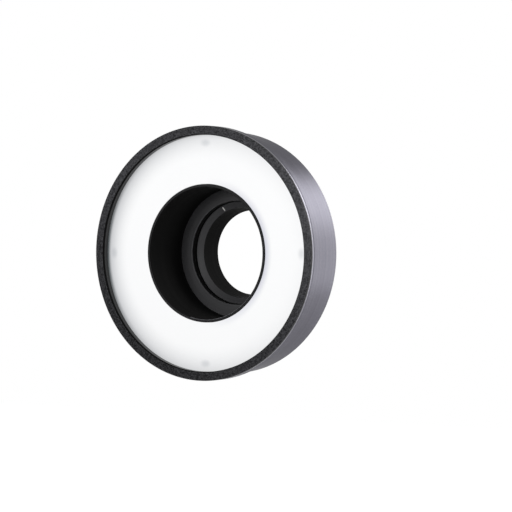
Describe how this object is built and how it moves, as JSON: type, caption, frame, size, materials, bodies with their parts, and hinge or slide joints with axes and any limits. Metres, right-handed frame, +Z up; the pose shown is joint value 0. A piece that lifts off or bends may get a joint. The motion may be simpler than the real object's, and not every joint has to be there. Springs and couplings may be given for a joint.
{
  "type": "led ring light",
  "caption": "Ring light with an opal lit face and an open bore, clamped on an adapter ring that screws into a lens's filter thread; dimmer, switch and power inlet behind.",
  "frame": {"origin": "middle of the male lens thread, on the lamp's axis", "axes": "+Y along the lamp's axis towards the camera, light shines towards -Y, +Z up, +X right seen from the lit side"},
  "size_m": [0.14, 0.057, 0.14],
  "materials": {
    "black_anodised": "bead blasted, black anodised",
    "grey_anodised": "turned, satin grey anodised",
    "satin_black_anodised": "turned, satin black anodised",
    "opal_acrylic": "opal, lit from behind",
    "silicone": "matt",
    "white_reflector": "matt white",
    "white_solder_mask": "white solder mask",
    "led_phosphor": "phosphor under clear resin",
    "chip_black": "moulded epoxy",
    "green_solder_mask": "green solder mask",
    "nickel_plated_steel": "nickel plated",
    "black_steel": "black oxide",
    "capacitor_sleeve": "shrink sleeve",
    "moulded_black": "moulded, fine grain",
    "pot_case": "stamped case",
    "nylon": "natural nylon"
  },
  "bodies": {
    "adapter": {"adapter_ring": "satin_black_anodised"},
    "lamp": {"front_bezel": "black_anodised", "inner_tube": "black_anodised", "clamp_collar": "black_anodised", "diffuser_clamp_ring": "black_anodised", "housing_shell": "grey_anodised", "rear_cover": "grey_anodised", "diffuser": "opal_acrylic", "diffuser_gasket": "silicone", "outer_reflector": "white_reflector", "inner_reflector": "white_reflector", "led_board": "white_solder_mask", "leds_inner": "led_phosphor", "leds_middle": "led_phosphor", "leds_outer": "led_phosphor", "led_resistors": "chip_black", "driver_chips": "chip_black", "link_header": "chip_black", "power_inductor": "chip_black", "control_board": "green_solder_mask", "board_standoffs": "nickel_plated_steel", "led_board_screws": "nickel_plated_steel", "control_board_spacers": "nickel_plated_steel", "control_board_screws": "nickel_plated_steel", "dimmer_nut": "nickel_plated_steel", "dc_jack_nut": "nickel_plated_steel", "dc_jack_pin": "nickel_plated_steel", "rear_cover_screws": "black_steel", "tube_screws": "black_steel", "collar_screws": "black_steel", "filter_capacitors": "capacitor_sleeve", "dc_jack": "moulded_black", "switch_frame": "moulded_black", "dimmer_pot": "pot_case"},
    "dimmer": {"dimmer_shaft": "nickel_plated_steel", "dimmer_knob": "moulded_black", "knob_set_screw": "black_steel"},
    "rocker": {"switch_rocker": "moulded_black"},
    "tip_1": {"screw_tip_1": "nylon"},
    "screw_1": {"thumb_screw_1": "black_anodised"},
    "tip_2": {"screw_tip_2": "nylon"},
    "screw_2": {"thumb_screw_2": "black_anodised"},
    "tip_3": {"screw_tip_3": "nylon"},
    "screw_3": {"thumb_screw_3": "black_anodised"}
  },
  "joints": [
    {"name": "lamp_turn", "type": "hinge", "parent": "adapter", "child": "lamp", "pos_m": [0, 0, 0], "axis": [0, 1, 0], "continuous": true},
    {"name": "screw_1_travel", "type": "slide", "parent": "lamp", "child": "tip_1", "axis": [0, 0, 1], "range_m": [0, 0.0014]},
    {"name": "screw_1_turn", "type": "hinge", "parent": "tip_1", "child": "screw_1", "pos_m": [0, -0.00965, 0.04], "axis": [0, 0, 1], "range_deg": [0, 720]},
    {"name": "screw_2_travel", "type": "slide", "parent": "lamp", "child": "tip_2", "axis": [-0.866, 0, -0.5], "range_m": [0, 0.0014]},
    {"name": "screw_2_turn", "type": "hinge", "parent": "tip_2", "child": "screw_2", "pos_m": [-0.03464, -0.00965, -0.02], "axis": [-0.866, 0, -0.5], "range_deg": [0, 720]},
    {"name": "screw_3_travel", "type": "slide", "parent": "lamp", "child": "tip_3", "axis": [0.866, 0, -0.5], "range_m": [0, 0.0014]},
    {"name": "screw_3_turn", "type": "hinge", "parent": "tip_3", "child": "screw_3", "pos_m": [0.03464, -0.00965, -0.02], "axis": [0.866, 0, -0.5], "range_deg": [0, 720]},
    {"name": "dimmer_turn", "type": "hinge", "parent": "lamp", "child": "dimmer", "pos_m": [0.02567, -0.01575, -0.04447], "axis": [0, 1, 0], "range_deg": [0, 270]},
    {"name": "rocker_tip", "type": "hinge", "parent": "lamp", "child": "rocker", "pos_m": [-0.02567, -0.02365, -0.04447], "axis": [0.5, 0, 0.866], "range_deg": [0, 16]}
  ],
  "couplings": [
    {"joint": "screw_1_turn", "follows": "screw_1_travel", "rad_per_m": 8976},
    {"joint": "screw_2_turn", "follows": "screw_2_travel", "rad_per_m": 8976},
    {"joint": "screw_3_turn", "follows": "screw_3_travel", "rad_per_m": 8976}
  ]
}
